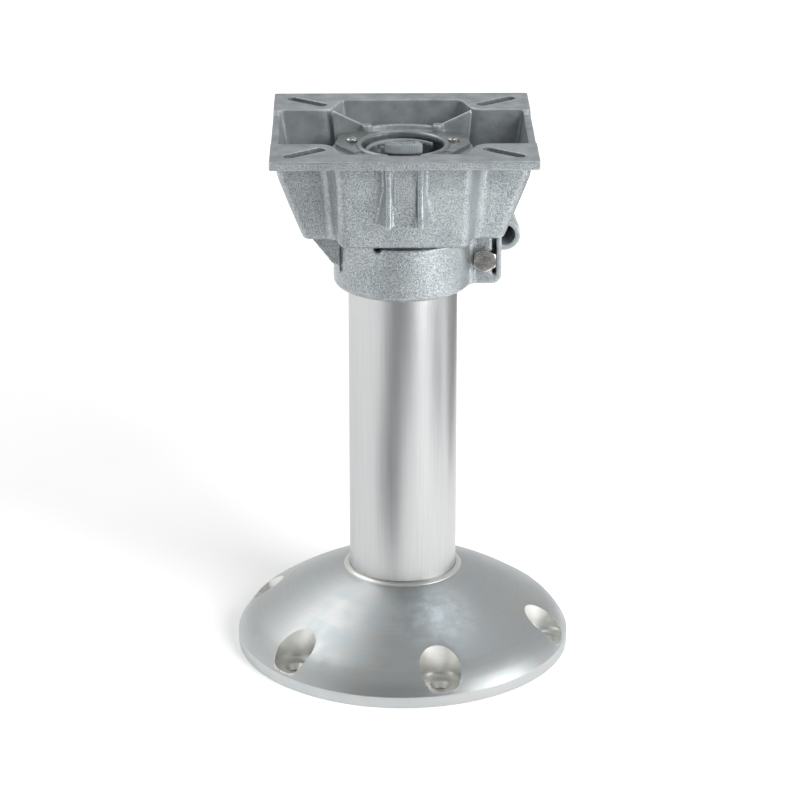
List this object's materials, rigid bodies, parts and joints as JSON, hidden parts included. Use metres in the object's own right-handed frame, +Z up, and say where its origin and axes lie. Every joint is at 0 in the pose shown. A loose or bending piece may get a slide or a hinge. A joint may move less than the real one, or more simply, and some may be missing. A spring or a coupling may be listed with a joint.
{
  "type": "boat seat pedestal",
  "caption": "Fixed-height boat seat pedestal: a round bolt-down base, an aluminium column and a swivelling cast seat mount with a slotted plate and a friction-lock lever.",
  "frame": {"origin": "middle of the base's underside, on the column's axis", "axes": "+Z up along the column, -Y to the front with the channelled wall, +X to the clamp lug"},
  "size_m": [0.2286, 0.2286, 0.3685],
  "materials": {
    "turned_base": "satin turned",
    "column_tube": "satin anodised",
    "grey_nylon": "moulded",
    "cast_paint": "silver textured paint",
    "ring_plate": "as cast",
    "stainless": "polished stainless",
    "bushing_nylon": "moulded",
    "bolt_steel": "stainless",
    "lever_paint": "silver paint"
  },
  "bodies": {
    "base": {"base_flange": "turned_base", "column": "column_tube", "column_insert": "grey_nylon"},
    "head": {"seat_mount": "cast_paint", "retaining_ring": "ring_plate", "ring_screws": "stainless", "friction_sleeve": "bushing_nylon", "upper_bushing": "bushing_nylon", "thrust_washer": "bushing_nylon", "clamp_bolt": "bolt_steel", "lever_washer": "bolt_steel"},
    "lever": {"lock_lever": "lever_paint", "lever_nut": "bolt_steel"}
  },
  "joints": [
    {"name": "seat_swivel", "type": "hinge", "parent": "base", "child": "head", "pos_m": [0, 0, 0.34], "axis": [0, 0, 1], "continuous": true},
    {"name": "lever_turn", "type": "hinge", "parent": "head", "child": "lever", "pos_m": [0.054, 0.025, 0.2813], "axis": [0, 1, 0], "range_deg": [-5, 105]}
  ]
}
